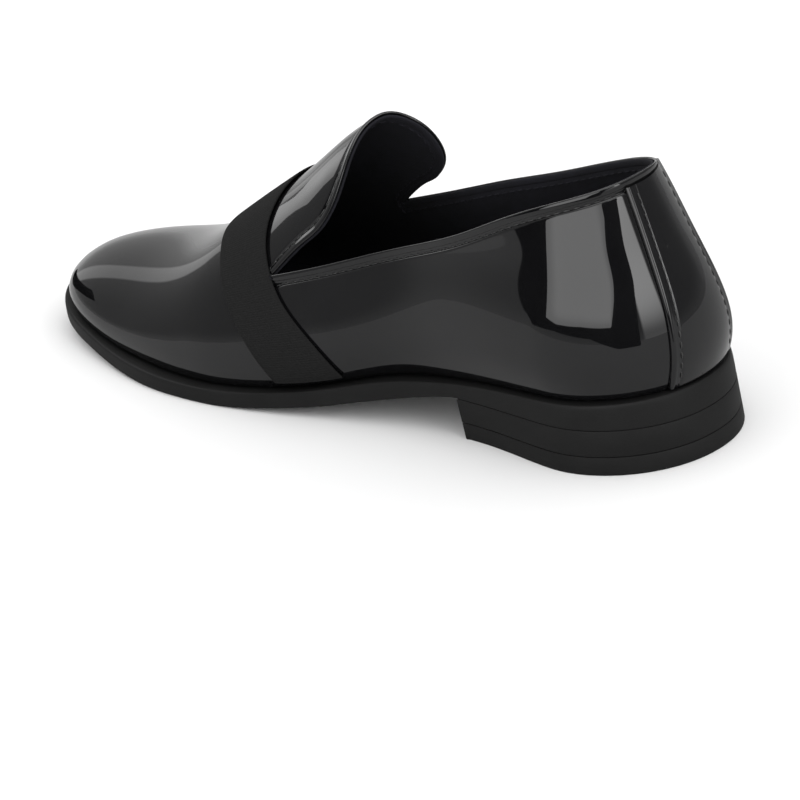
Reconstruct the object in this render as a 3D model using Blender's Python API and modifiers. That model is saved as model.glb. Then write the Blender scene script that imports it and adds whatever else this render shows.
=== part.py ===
"""Left slip-on dress loafer: patent upper, cloth band over the vamp, rubber sole with a low heel.

Metres, +Z up, toe towards +X, the wearer's outer side towards +Y. The shoe stands on Z = 0 with
the origin under the middle of its box. Sizes below are millimetres. A station is a distance along
the shoe from the back of the heel. The surface of the last is one function of station and breadth,
skin(), and the upper, its binding, the band and the back strip are all taken from it.
"""
import bpy
import numpy as np

MM = 0.001

# Overall sizes
SOLE_LENGTH = 300.0
SOLE_EDGE = 7.2
HEEL_LENGTH = 83.5
HEEL_SEAT_Z = 15.5
TOP_PIECE_Z = 6.3
HEEL_RIM_BACK = 1.7
GAP = 0.3
OVERLAY_GAP = 0.4
FEATHER_GAP = 0.45
WALL = 2.0
BINDING_HEIGHT = 2.2
BAND_THICKNESS = 1.0
STRIP_THICKNESS = 1.1
INSOLE_THICKNESS = 2.5
INSOLE_MARGIN = 1.6
INSOLE_EDGE = 1.0

# Ends of the last at the feather edge, where the upper meets the sole
LAST_BACK = 4.5
LAST_TOE = 295.5
BACK_ROUND_END = 43.0
TOE_ROUND_START = 205.0
PLAN_ROUNDNESS = 2.1
TOE_DROP_START = 230.0
TOE_DROP_ROUNDNESS = 2.45

# The heel curve: how far the back leans forward at a height, and how far forward that is felt
BACK_LEAN = 10.4
BACK_LEAN_HEIGHT = 46.0
BACK_LEAN_REACH = 90.0

# Where the throat opens, on the outer and the inner side
NOTCH_STATION = {1: 162.5, -1: 159.0}

# How the ribs of the vamp bend round the corners of the throat
RIB_BEND_SHARE = 0.04
RIB_PULL_MIN = 4.0
RIB_PULL = 26.0
RIB_PULL_OFFSET = 0.55

# Grid sizes
SOLE_POINTS = 92
HEEL_POINTS = 44
INSOLE_POINTS = 64
QUARTER_RIBS = 19
QUARTER_SPREAD = 1.35
VAMP_RIBS = 68
UPPER_ROWS = 16
ROW_SPREAD = 1.45
BINDING_ROWS = 2
BAND_GRID = (36, 6)
STRIP_GRID = (14, 8)
DENSE = 240
SHARP_DEGREES = 40
TINY = 1e-6
NUDGE = 0.05

# Sole: half widths of its rim, height of its top face, and how far the heel's foot flares
SOLE_COLUMNS = ("station", "outer", "inner", "top", "flare")
SOLE_ROWS = (
    (0, 36.0, 36.0, 25.8, 0.7),
    (42, 35.7, 35.2, 24.7, 0.7),
    (82, 34.6, 31.4, 23.1, -2.9),
    (95, 34.7, 28.8, 20.9, -2.0),
    (115, 37.0, 27.6, 17.2, 0.0),
    (140, 42.8, 32.5, 12.2, 0.0),
    (165, 48.3, 40.8, 8.8, 0.0),
    (185, 51.3, 45.6, 7.2, 0.0),
    (222, 50.9, 47.6, 7.2, 0.0),
    (245, 48.4, 46.9, 8.4, 0.0),
    (262, 47.2, 46.4, 10.0, 0.0),
    (280, 47.5, 46.0, 11.5, 0.0),
    (300, 48.2, 45.8, 13.9, 0.0),
)

# Edge of the outsole, bottom to top: inset from the rim, and share of the thickness
EDGE_COLUMNS = ("inset", "share")
EDGE_ROWS = (
    (1.4, 0.0),
    (0.4, 0.07),
    (0.0, 0.2),
    (0.0, 0.8),
    (0.5, 0.94),
    (1.6, 1.0),
)
EDGE_ROUND_AT_HEEL = 0.25

# Last: half widths at the feather edge, height of the ridge, fullness of the section, and how far
# the wall swells out over the feather edge
LAST_COLUMNS = ("station", "outer", "inner", "crown", "fullness", "swell")
LAST_ROWS = (
    (0, 32.5, 34.0, 115.8, 1.80, 2.9),
    (45, 32.8, 33.6, 115.6, 1.80, 4.0),
    (85, 30.8, 28.2, 114.0, 1.78, 4.0),
    (115, 31.6, 25.4, 101.8, 1.62, 4.4),
    (140, 38.4, 29.8, 93.0, 1.52, 4.0),
    (165, 44.0, 37.2, 75.7, 1.60, 3.2),
    (190, 47.2, 42.2, 59.8, 1.70, 2.6),
    (215, 46.5, 43.8, 44.6, 1.76, 2.2),
    (240, 44.8, 43.4, 35.0, 1.82, 2.0),
    (265, 44.6, 42.6, 32.0, 1.88, 2.0),
    (300, 45.6, 41.6, 32.0, 1.92, 1.8),
)

# Makes level * (1 - level)^2 peak at 1
SWELL_PEAK = 27 / 4

# Height of the bound edge along the quarters
TOPLINE_COLUMNS = ("station", "outer", "inner")
TOPLINE_ROWS = (
    (4, 92.2, 92.2),
    (20, 89.8, 88.8),
    (40, 85.6, 84.7),
    (60, 79.2, 79.8),
    (80, 71.4, 74.4),
    (100, 64.6, 69.6),
    (120, 58.4, 63.6),
    (140, 52.4, 56.8),
    (164, 45.8, 48.4),
)

# Edge of the tongue in plan, from the outer notch round its end to the inner notch
TONGUE_COLUMNS = ("station", "offset")
TONGUE_ROWS = (
    (150.0, 29.4),
    (142.0, 26.4),
    (137.6, 22.0),
    (136.4, 15.0),
    (136.0, 7.0),
    (133.8, -1.0),
    (129.0, -8.0),
    (124.6, -12.2),
    (123.2, -15.2),
    (127.6, -18.2),
    (138.0, -20.8),
)

# Edges of the band, by height share of the section
BAND_COLUMNS = ("height", "rear", "front")
BAND_ROWS = (
    (0.0, 131.0, 157.5),
    (0.2, 140.5, 167.0),
    (0.4, 154.3, 177.0),
    (0.6, 164.3, 186.0),
    (0.8, 170.7, 194.5),
    (1.0, 173.5, 206.0),
)
BAND_INNER_SETBACK = 5.0
BAND_SECTION_POWER = 1.25
BAND_END_ANGLE = 86.0

# Half widths of the back strip on either side of the back of the heel, by height
STRIP_COLUMNS = ("height", "outer", "inner")
STRIP_ROWS = (
    (26.0, 13.0, 21.0),
    (38.0, 12.4, 20.6),
    (50.0, 10.7, 19.8),
    (61.0, 8.9, 19.2),
    (73.0, 7.3, 18.6),
    (92.0, 5.5, 17.6),
)
STRIP_FOOT = 1.4

# Colour, roughness and coat of each finish
FINISHES = {
    "patent": ((0.012, 0.012, 0.013), 0.10, 1.0),
    "cloth": ((0.010, 0.010, 0.010), 0.92, 0.0),
    "rubber": ((0.020, 0.020, 0.020), 0.60, 0.0),
    "lining": ((0.012, 0.013, 0.020), 0.80, 0.0),
}


def spline(knots, values):
    """Natural cubic spline through the knots, held at its end values outside them."""
    knots = np.asarray(knots, float)
    values = np.asarray(values, float)
    step = np.diff(knots)
    size = len(knots)
    matrix = np.eye(size)
    right = np.zeros(size)
    for i in range(1, size - 1):
        matrix[i, i - 1:i + 2] = step[i - 1], 2 * (step[i - 1] + step[i]), step[i]
        right[i] = 6 * ((values[i + 1] - values[i]) / step[i] - (values[i] - values[i - 1]) / step[i - 1])
    bend = np.linalg.solve(matrix, right)

    def value(at):
        at = np.clip(np.asarray(at, float), knots[0], knots[-1])
        i = np.clip(np.searchsorted(knots, at) - 1, 0, size - 2)
        a = (knots[i + 1] - at) / step[i]
        b = (at - knots[i]) / step[i]
        curve = ((a**3 - a) * bend[i] + (b**3 - b) * bend[i + 1]) * step[i]**2 / 6
        return a * values[i] + b * values[i + 1] + curve

    return value


def arrays(names, rows):
    """The columns of a table by name."""
    return dict(zip(names, np.array(rows, float).T))


def curves(names, rows):
    """A spline of each column over the table's first column, by name."""
    table = arrays(names, rows)
    return {name: spline(table[names[0]], table[name]) for name in names[1:]}


sole = curves(SOLE_COLUMNS, SOLE_ROWS)
last = curves(LAST_COLUMNS, LAST_ROWS)
topline = curves(TOPLINE_COLUMNS, TOPLINE_ROWS)
band = curves(BAND_COLUMNS, BAND_ROWS)
strip = curves(STRIP_COLUMNS, STRIP_ROWS)
edge = arrays(EDGE_COLUMNS, EDGE_ROWS)
tongue = arrays(TONGUE_COLUMNS, TONGUE_ROWS)


def by_side(table, x, side):
    """The outer or inner column of a table, by the sign of side."""
    return np.where(np.asarray(side) > 0, table["outer"](x), table["inner"](x))


def round_ends(x, back, toe):
    """Share of the half width left by the round back and the round toe: a superellipse at each."""
    u = np.clip((x - TOE_ROUND_START) / (toe - TOE_ROUND_START), 0, 1)
    v = np.clip((BACK_ROUND_END - x) / (BACK_ROUND_END - back), 0, 1)
    return ((1 - u**PLAN_ROUNDNESS) * (1 - v**PLAN_ROUNDNESS))**(1 / PLAN_ROUNDNESS)


def sole_bottom(x):
    """Underside of the outsole: flat over the heel, an edge's thickness below the top, flat tread."""
    return np.clip(sole["top"](x) - SOLE_EDGE, 0, HEEL_SEAT_Z)


def feather_z(x):
    """Height of the upper's lower edge, just above the sole."""
    return sole["top"](x) + FEATHER_GAP


def breadth(x, side):
    """Half width of the last at the feather edge."""
    return by_side(last, x, side) * round_ends(x, LAST_BACK, LAST_TOE)


def rise(x):
    """Height of the ridge over the feather edge, rounded down at the toe by a superellipse."""
    u = np.clip((x - TOE_DROP_START) / (LAST_TOE - TOE_DROP_START), 0, 1)
    drop = (1 - u**TOE_DROP_ROUNDNESS)**(1 / TOE_DROP_ROUNDNESS)
    return (last["crown"](x) - feather_z(x)) * drop


def skin(x, across, side):
    """Point of the last at a station, at a share of the half width from the ridge, on a side.

    The section is across^2 + height^fullness = 1. The wall then swells out along the plan's normal,
    most at a third of its height, and the heel curve leans the back forward, with the square of the
    height and then straight on.
    """
    x, across, side = np.broadcast_arrays(*(np.asarray(v, float) for v in (x, across, side)))
    tall = rise(x)
    height = tall * np.clip(1 - across**2, 0, 1)**(1 / last["fullness"](x))
    ahead = breadth(np.minimum(x + NUDGE, LAST_TOE), side)
    behind = breadth(np.maximum(x - NUDGE, LAST_BACK), side)
    slope = across * (behind - ahead) / (2 * NUDGE)
    length = np.hypot(slope, 1)
    level = np.clip(height / (np.minimum(tall, BACK_LEAN_HEIGHT) + TINY), 0, 1)
    swell = SWELL_PEAK * level * (1 - level)**2 * last["swell"](x)
    climb = height / BACK_LEAN_HEIGHT
    lean = BACK_LEAN * np.where(climb < 1, climb**2, 2 * climb - 1)
    lean = lean * np.clip(1 - x / BACK_LEAN_REACH, 0, 1)**2
    return np.stack([
        x + swell * slope / length + lean,
        side * (breadth(x, side) * across + swell / length),
        feather_z(x) + height,
    ], -1)


def across_at(x, z):
    """Share of the half width at which the section reaches a height."""
    share = np.clip((z - feather_z(x)) / (rise(x) + TINY), 0, 1)
    return np.sqrt(1 - share**last["fullness"](x))


def resample(points, start, stop, count, spread=1):
    """Points of a polyline between two distances along it, evenly or closer near its start."""
    run = np.append(0, np.cumsum(np.linalg.norm(np.diff(points, axis=0), axis=1)))
    first = start if start >= 0 else run[-1] + start
    final = stop if stop > 0 else run[-1] + stop
    at = first + (final - first) * np.linspace(0, 1, count)**spread
    return np.stack([np.interp(at, run, points[:, k]) for k in range(points.shape[1])], -1)


def quarter_rib(x, side):
    """Dense section of a quarter at a station, from the feather edge to the topline."""
    height = np.linspace(0, 1, DENSE)**2
    z = feather_z(x) + height * (by_side(topline, x, side) - feather_z(x))
    return skin(x, across_at(x, z), side)


def notch(side):
    """Plan position of the throat's corner on a side."""
    x = NOTCH_STATION[side]
    return np.array([x, float(side * breadth(x, side) * across_at(x, by_side(topline, x, side)))])


def tongue_edge(count):
    """Plan curve of the tongue's edge, from the outer notch round to the inner one."""
    between = np.column_stack([tongue["station"], tongue["offset"]])
    knots = np.array([notch(1), *between, notch(-1)])
    run = np.append(0, np.cumsum(np.linalg.norm(np.diff(knots, axis=0), axis=1)))
    at = np.linspace(0, run[-1], DENSE)
    curve = np.stack([spline(run, knots[:, k])(at) for k in range(2)], -1)
    return resample(curve, 0, 0, count)


def vamp_feather(count):
    """Plan curve of the feather edge, from the outer notch's station round the toe to the inner's."""
    ease = np.sin(np.linspace(0, np.pi / 2, DENSE))
    halves = []
    for side in (1, -1):
        x = NOTCH_STATION[side] + (LAST_TOE - NOTCH_STATION[side]) * ease
        halves.append(np.stack([x, side * breadth(x, side)], -1))
    return resample(np.concatenate([halves[0], halves[1][-2::-1]]), 0, 0, count)


def vamp_rib(foot, rim, share):
    """Dense rib over the vamp, from the feather edge forward of the throat back to the tongue's edge.

    In plan it is a parabola. Its pull point lies between the ridge and the tongue's edge, ahead of
    the throat, and moves onto the straight line where the rib meets the throat's corner.
    """
    side = 1 if share < 0.5 else -1
    corner = min(share, 1 - share)
    bend = 1 - np.exp(-corner / RIB_BEND_SHARE)
    ahead = NOTCH_STATION[side] + RIB_PULL_MIN + RIB_PULL * np.sin(np.pi * share)
    pull = np.array([ahead, RIB_PULL_OFFSET * rim[1]])
    pull = bend * pull + (1 - bend) * (foot + rim) / 2
    t = np.linspace(0, 1, DENSE)[:, None]**2
    x, y = (foot * (1 - t)**2 + pull * 2 * t * (1 - t) + rim * t**2).T
    side = np.where(y >= 0, 1, -1)
    across = np.clip(np.abs(y) / (breadth(x, side) + TINY), 0, 1)
    return skin(x, across, side)


def upper_ribs():
    """All ribs of the upper in order round it: outer quarter, vamp and tongue, inner quarter."""
    turn = np.linspace(0, 1, QUARTER_RIBS + 1)[:-1]**QUARTER_SPREAD
    quarters = {}
    for side in (1, -1):
        stations = LAST_BACK + (NOTCH_STATION[side] - LAST_BACK) * turn
        quarters[side] = [quarter_rib(x, side) for x in stations]
    feet = vamp_feather(VAMP_RIBS)
    rims = tongue_edge(VAMP_RIBS)
    shares = np.linspace(0, 1, VAMP_RIBS)
    vamp = [vamp_rib(foot, rim, share) for foot, rim, share in zip(feet, rims, shares)]
    return quarters[1] + vamp + quarters[-1][:0:-1]


def sole_outline(drop):
    """Closed plan of the sole; drop is 0 at the rim and 1 where the heel stands on the floor."""
    turn = (np.arange(SOLE_POINTS) + 0.5) * 2 * np.pi / SOLE_POINTS
    back = HEEL_RIM_BACK * (1 - drop)
    x = back + (SOLE_LENGTH - back) * (1 - np.cos(turn)) / 2
    side = np.where(turn < np.pi, 1, -1)
    width = by_side(sole, x, side) + drop * sole["flare"](x)
    return np.stack([x, side * width * round_ends(x, back, SOLE_LENGTH)], -1)


def heel_outline(drop):
    """Closed plan of the heel, from the inner corner of its breast round the back to the outer."""
    turn = np.linspace(-1, 1, HEEL_POINTS)
    back = HEEL_RIM_BACK * (1 - drop)
    x = back + (HEEL_LENGTH - back) * turn**2
    side = np.sign(turn)
    width = by_side(sole, x, side) + drop * sole["flare"](x)
    return np.stack([x, side * width * round_ends(x, back, SOLE_LENGTH)], -1)


def insole_outline():
    """Closed plan of the insole, inside the upper's wall."""
    turn = (np.arange(INSOLE_POINTS) + 0.5) * 2 * np.pi / INSOLE_POINTS
    x = LAST_BACK + (LAST_TOE - LAST_BACK) * (1 - np.cos(turn)) / 2
    side = np.where(turn < np.pi, 1, -1)
    return inset(np.stack([x, side * breadth(x, side)], -1), WALL + INSOLE_MARGIN)


def inset(outline, distance):
    """A closed clockwise plan moved inwards along its normals by a distance."""
    along = np.roll(outline, -1, 0) - np.roll(outline, 1, 0)
    along /= np.linalg.norm(along, axis=1, keepdims=True)
    inward = np.stack([along[:, 1], -along[:, 0]], -1)
    return outline + inward * np.reshape(distance, (-1, 1))


def ring(outline, z):
    """A plan outline lifted to a height, or to a height at each of its points."""
    return np.column_stack([outline, np.broadcast_to(z, len(outline))])


def plan_middle():
    """Middle of the shoe's box in plan."""
    outline = np.concatenate([sole_outline(0), heel_outline(1)])
    return (outline.min(0) + outline.max(0)) / 2


MIDDLE = np.append(plan_middle(), 0)


def finish(name, kind):
    """Material of a piece from the table of finishes."""
    colour, roughness, coat = FINISHES[kind]
    material = bpy.data.materials.new(name)
    material.use_nodes = True
    shader = material.node_tree.nodes["Principled BSDF"]
    shader.inputs["Base Color"].default_value = (*colour, 1)
    shader.inputs["Roughness"].default_value = roughness
    shader.inputs["Metallic"].default_value = 0
    shader.inputs["Coat Weight"].default_value = coat
    return material


def piece(name, points, faces, kind):
    """A named object from points in millimetres and faces, in the part's own frame."""
    mesh = bpy.data.meshes.new(name)
    mesh.from_pydata(((np.asarray(points) - MIDDLE) * MM).tolist(), [], faces)
    mesh.update()
    mesh.shade_smooth()
    mesh.set_sharp_from_angle(angle=np.radians(SHARP_DEGREES))
    mesh.materials.append(finish(name, kind))
    item = bpy.data.objects.new(name, mesh)
    parts.objects.link(item)
    return item


def loft(name, rings, kind):
    """A closed solid through clockwise rings from bottom to top, capped by strips across."""
    count = len(rings[0])
    step = np.arange(count)
    after = (step + 1) % count
    faces = []
    for level in range(len(rings) - 1):
        low, high = level * count, (level + 1) * count
        faces += np.column_stack([low + step, high + step, high + after, low + after]).tolist()
    near = np.arange(count // 2 - 1)
    far = count - 1 - near
    strips = np.column_stack([near, near + 1, far - 1, far])
    faces += strips.tolist()
    faces += (strips[:, ::-1] + (len(rings) - 1) * count).tolist()
    return piece(name, np.concatenate(rings), faces, kind)


def shell(name, grid, thickness, outwards, kind, closed):
    """A wall on a grid of ribs and rows: Solidify gives it thickness, outwards or inwards."""
    ribs, rows = grid.shape[:2]
    rib = np.arange(ribs if closed else ribs - 1)
    index = np.arange(ribs * rows).reshape(ribs, rows)
    here, there = index[rib], index[(rib + 1) % ribs]
    quads = np.stack([here[:, :-1], here[:, 1:], there[:, 1:], there[:, :-1]], -1).reshape(-1, 4)
    item = piece(name, grid.reshape(-1, 3), quads.tolist(), kind)
    wall = item.modifiers.new("wall", "SOLIDIFY")
    wall.thickness = thickness * MM
    wall.offset = 1 if outwards else -1
    return item


def lifted(grid, distance):
    """A grid moved out along its own normals."""
    along = np.gradient(grid, axis=0)
    up = np.gradient(grid, axis=1)
    normal = np.cross(up, along)
    return grid + distance * normal / np.linalg.norm(normal, axis=-1, keepdims=True)


def make_outsole():
    """Outsole with a rounded edge, arch, toe spring and a flat tread under the ball."""
    heel_drop = 1 - HEEL_SEAT_Z / sole["top"](0)
    rings = []
    for depth, share in zip(edge["inset"], edge["share"]):
        outline = sole_outline(heel_drop * (1 - share))
        ease = np.clip((outline[:, 0] - HEEL_LENGTH) / SOLE_EDGE, 0, 1)
        round_share = EDGE_ROUND_AT_HEEL + (1 - EDGE_ROUND_AT_HEEL) * ease
        outline = inset(outline, depth * np.where(share < 0.5, round_share, 1))
        low, high = sole_bottom(outline[:, 0]), sole["top"](outline[:, 0])
        rings.append(ring(outline, low + share * (high - low)))
    loft("outsole", rings, "rubber")


def make_heel_layer(name, low, high):
    """One layer of the heel between two heights, with its flare."""
    rim = sole["top"](0)
    loft(name, [ring(heel_outline(1 - z / rim), z) for z in (low, high)], "rubber")


def make_insole():
    """Insole that follows the sole's top face inside the upper."""
    low = insole_outline()
    high = inset(low, INSOLE_EDGE)
    floor = [sole["top"](outline[:, 0]) + GAP for outline in (low, high)]
    loft("insole", [ring(low, floor[0]), ring(high, floor[1] + INSOLE_THICKNESS)], "lining")


def make_upper():
    """Vamp, tongue and quarters as one hollow wall, with its bound edge as a second piece."""
    ribs = upper_ribs()
    seam = -BINDING_HEIGHT - OVERLAY_GAP
    wall = np.stack([resample(rib, 0, seam - BINDING_HEIGHT, UPPER_ROWS, ROW_SPREAD) for rib in ribs])
    rim = np.stack([resample(rib, seam, 0, BINDING_ROWS)[:1] for rib in ribs])
    bound = np.stack([resample(rib, -BINDING_HEIGHT, 0, BINDING_ROWS + 1) for rib in ribs])
    shell("upper", np.concatenate([wall, rim], 1), WALL, False, "patent", True)
    shell("topline_binding", bound, WALL, False, "patent", True)


def make_band():
    """Cloth band over the vamp, from feather edge to feather edge between its two edge curves."""
    around, over = BAND_GRID
    angle = np.radians(np.linspace(-BAND_END_ANGLE, BAND_END_ANGLE, around + 1))[:, None]
    height = np.cos(angle)**BAND_SECTION_POWER
    setback = BAND_INNER_SETBACK * (1 - height) * (angle > 0)
    share = np.linspace(0, 1, over + 1)[None, :]
    x = band["rear"](height) * (1 - share) + band["front"](height) * share - setback
    grid = skin(x, np.abs(np.sin(angle)), np.where(angle > 0, -1, 1))
    shell("vamp_band", lifted(grid[:, ::-1], OVERLAY_GAP), BAND_THICKNESS, True, "cloth", False)


def heel_point(z, offset):
    """Point of the back of the last at a height and a distance to the side."""
    side = 1 if offset >= 0 else -1
    x = LAST_BACK + (BACK_ROUND_END - LAST_BACK) * np.linspace(0, 1, DENSE)**2
    section = skin(x, across_at(x, z), side)
    at = np.interp(abs(offset), np.abs(section[:, 1]), x)
    return skin(at, across_at(at, z), side)


def make_back_strip():
    """Strip over the back seam, wider at its foot."""
    rows, over = STRIP_GRID
    heights = np.linspace(feather_z(LAST_BACK) + STRIP_FOOT, topline["outer"](LAST_BACK), rows + 1)
    shares = np.linspace(1, -1, over + 1)
    grid = np.array([[heel_point(z, share * by_side(strip, z, share)) for z in heights] for share in shares])
    shell("back_strip", lifted(grid[::-1], OVERLAY_GAP), STRIP_THICKNESS, True, "patent", False)


for stale in list(bpy.data.objects):
    bpy.data.objects.remove(stale, do_unlink=True)
parts = bpy.data.collections.new("slip_on_loafer")
bpy.context.scene.collection.children.link(parts)

make_outsole()
make_heel_layer("heel_block", TOP_PIECE_Z + GAP, HEEL_SEAT_Z - GAP)
make_heel_layer("heel_top_piece", 0, TOP_PIECE_Z)
make_insole()
make_upper()
make_band()
make_back_strip()
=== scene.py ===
"""Looks of a left slip-on dress loafer: patent upper, cloth band, rubber sole, dark lining.

Lengths are millimetres in the shoe's own frame until a mesh is made. A station is a distance along
the shoe from the back of the heel, and the wearer's outer side is +Y. The last is one function of
station and breadth, skin(), and every piece of the upper is a grid on it.
"""

import bmesh
import bpy
import numpy as np
from mathutils import Matrix, Vector


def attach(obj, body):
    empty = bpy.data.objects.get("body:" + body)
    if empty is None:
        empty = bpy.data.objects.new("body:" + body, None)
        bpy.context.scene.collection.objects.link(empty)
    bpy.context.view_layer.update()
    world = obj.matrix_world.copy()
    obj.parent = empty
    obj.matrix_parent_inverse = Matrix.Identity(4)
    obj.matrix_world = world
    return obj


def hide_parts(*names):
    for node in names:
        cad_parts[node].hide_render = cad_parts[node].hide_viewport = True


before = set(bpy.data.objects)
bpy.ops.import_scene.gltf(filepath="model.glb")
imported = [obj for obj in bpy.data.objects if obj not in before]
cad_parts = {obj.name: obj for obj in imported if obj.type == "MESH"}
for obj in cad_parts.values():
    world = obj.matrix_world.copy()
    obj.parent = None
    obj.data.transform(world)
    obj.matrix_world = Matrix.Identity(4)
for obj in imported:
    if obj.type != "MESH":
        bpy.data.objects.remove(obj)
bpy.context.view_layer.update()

MM = 0.001
TINY = 1e-6
SIDES = (1, -1)

# Sole and heel
SOLE_LENGTH = 300.0
SOLE_EDGE = 7.2
SOLE_EDGE_POWER = 4.0
SOLE_EDGE_ROUND = 1.5
HEEL_EDGE_SHARE = 0.2
HEEL_LENGTH = 83.5
HEEL_SEAT_Z = 15.5
TOP_PIECE_Z = 6.3
HEEL_RIM_BACK = 1.7
LAYER_GAP = 0.12
LAYER_ROUND = 0.35
LAYER_CORNER = ((0, 1), (0.3, 0.3), (1, 0))
FEATHER_GAP = 0.45
INSOLE_GAP = 0.3
INSOLE_THICKNESS = 2.5
INSOLE_INSET = 3.6
INSOLE_ROUND = 1.0

# Ends of the last at the feather edge, the heel curve, and the tip of the toe
LAST_BACK = 4.5
LAST_TOE = 295.5
BACK_ROUND_END = 43.0
TOE_ROUND_START = 205.0
PLAN_ROUNDNESS = 2.1
TOE_DROP_START = 230.0
TOE_DROP_ROUNDNESS = 2.45
BACK_LEAN = 10.4
BACK_LEAN_HEIGHT = 46.0
BACK_LEAN_REACH = 90.0
SWELL_PEAK = 27 / 4
TIP_START = 283.0
TIP_FULL = 289.0
TIP_CENTRE = 273.0
RAMP_ROUND = 0.2
NUDGE = 0.05

# Throat of the upper, and how the ribs of the vamp bend round its corners
NOTCH_STATION = {1: 162.5, -1: 159.0}
RIB_BEND_SHARE = 0.04
RIB_PULL_MIN = 4.0
RIB_PULL = 26.0
RIB_PULL_OFFSET = 0.55

# Layers of the upper, from its outer face inwards
PATENT_WALL = 1.0
LINING_WALL = 0.9
LAYER_SEAM = 0.08
FOLD_COVER = 1.1
TUCK = 0.5
TUCK_LENGTH = 1.5
EDGE_FLARE = 0.9
SLANT_LIMIT = 0.35
SLANT_EVEN = 4
SLANT_POINTS = 8

# Folded edges at the topline: centre and half sizes, out from the wall and up from the edge
PATENT_FOLD = {"out": -0.36, "up": -1.02, "half_out": 0.62, "half_up": 1.25}
LINING_FOLD = {"out": -1.62, "up": -1.22, "half_out": 0.55, "half_up": 1.22}
FOLD_POWER = 2.6

# Seams
STITCH_LENGTH = 2.5
STITCH_PITCH = 3.5
STITCH_RADIUS = 0.27
STITCH_SINK = 0.22
STITCH_LIFT = 0.6
STITCH_END = 0.05
STITCH_AIM = 0.5
STITCH_TWIST = 3.0
TOPLINE_SEAM = 3.1
SEAM_DEPTH = 0.5
SEAM_WIDTH = 0.5
STRIP_SEAM_DEPTH = 0.16
STRIP_SEAM = 3.3
STRIP_SEAM_END = 2.0

# Trims
BAND_LIFT = 0.4
BAND_THICKNESS = 1.0
BAND_EDGE_POWER = 5.0
BAND_INNER_SETBACK = 5.0
BAND_SECTION_POWER = 1.25
BAND_END_ANGLE = 86.0
STRIP_LIFT = 0.3
STRIP_THICKNESS = 1.0
STRIP_FOOT = 0.8
STRIP_TOP = 2.3
STRIP_DEPTH = 20.0
STRIP_BASE = 0.1
STRIP_ROLL = 0.8
STRIP_BEAD = {"height": 0.3, "centre": 1.1, "width": 0.8}

# Grid sizes
DENSE = 700
QUARTER_RIBS = 110
QUARTER_SPREAD = 1.35
VAMP_RIBS = 360
UPPER_ROWS = 46
UPPER_ROW_SPREAD = 1.25
EDGE_ROWS = 14
EDGE_BAND = 5.0
FRAME_OFFSETS = (2.0, 1.0, 0.0)
FOLD_POINTS = 18
SOLE_POINTS = 360
SOLE_EDGE_RINGS = 25
BAND_SECTIONS = 300
BAND_POINTS = 96
BAND_NORMALS = 9
STRIP_LEVELS = 90
STRIP_POINTS = 121
STRIP_SEAM_POINTS = 120
STITCH_RINGS = 9
STITCH_SIDES = 8
HEEL_POINTS = 160
INSOLE_POINTS = 240
HEEL_ROW_SPACING = 200.0

# Points of the solids' outlines, so that the middle of the box is theirs
BOX_SOLE_POINTS = 92
BOX_HEEL_POINTS = 44

# Shared effects of the finishes
CELL_HEIGHT = 0.6
FINE_DETAIL = 3.0
CLOUD_DETAIL = 4.0
RIB_ROUND = 0.5
PICK_DEPTH = 0.35
# Scale of the weave's shade: the slubs' random tone times a painted shade that darkens the hollows between
# threads
SLUB_AND_PAINTED_HOLLOW_SHADE = 0.6

# The sole, the last and the lines on it, by station or by height
SOLE_COLUMNS = ("station", "outer", "inner", "top", "flare")
SOLE_ROWS = (
    (0, 36.0, 36.0, 25.8, 0.7),
    (42, 35.7, 35.2, 24.7, 0.7),
    (82, 34.6, 31.4, 23.1, -2.9),
    (95, 34.7, 28.8, 20.9, -2.0),
    (115, 37.0, 27.6, 17.2, 0.0),
    (140, 42.8, 32.5, 12.2, 0.0),
    (165, 48.3, 40.8, 8.8, 0.0),
    (185, 51.3, 45.6, 7.2, 0.0),
    (222, 50.9, 47.6, 7.2, 0.0),
    (245, 48.4, 46.9, 8.4, 0.0),
    (262, 47.2, 46.4, 10.0, 0.0),
    (280, 47.5, 46.0, 11.5, 0.0),
    (300, 48.2, 45.8, 13.9, 0.0),
)

LAST_COLUMNS = ("station", "outer", "inner", "crown", "fullness", "swell")
LAST_ROWS = (
    (0, 32.5, 34.0, 115.8, 1.80, 2.9),
    (45, 32.8, 33.6, 115.6, 1.80, 4.0),
    (85, 30.8, 28.2, 114.0, 1.78, 4.0),
    (115, 31.6, 25.4, 101.8, 1.62, 4.4),
    (140, 38.4, 29.8, 93.0, 1.52, 4.0),
    (165, 44.0, 37.2, 75.7, 1.60, 3.2),
    (190, 47.2, 42.2, 59.8, 1.70, 2.6),
    (215, 46.5, 43.8, 44.6, 1.76, 2.2),
    (240, 44.8, 43.4, 35.0, 1.82, 2.0),
    (265, 44.6, 42.6, 32.0, 1.88, 2.0),
    (300, 45.6, 41.6, 32.0, 1.92, 1.8),
)

TOPLINE_COLUMNS = ("station", "outer", "inner")
TOPLINE_ROWS = (
    (4, 92.2, 92.2),
    (20, 89.8, 88.8),
    (40, 85.6, 84.7),
    (60, 79.2, 79.8),
    (80, 71.4, 74.4),
    (100, 64.6, 69.6),
    (120, 58.4, 63.6),
    (140, 52.4, 56.8),
    (164, 45.8, 48.4),
)

TONGUE_COLUMNS = ("station", "offset")
TONGUE_ROWS = (
    (150.0, 29.4),
    (142.0, 26.4),
    (137.6, 22.0),
    (136.4, 15.0),
    (136.0, 7.0),
    (133.8, -1.0),
    (129.0, -8.0),
    (124.6, -12.2),
    (123.2, -15.2),
    (127.6, -18.2),
    (138.0, -20.8),
)

BAND_COLUMNS = ("height", "rear", "front")
BAND_ROWS = (
    (0.0, 131.0, 157.5),
    (0.2, 140.5, 167.0),
    (0.4, 154.3, 177.0),
    (0.6, 164.3, 186.0),
    (0.8, 170.7, 194.5),
    (1.0, 173.5, 206.0),
)

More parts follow.
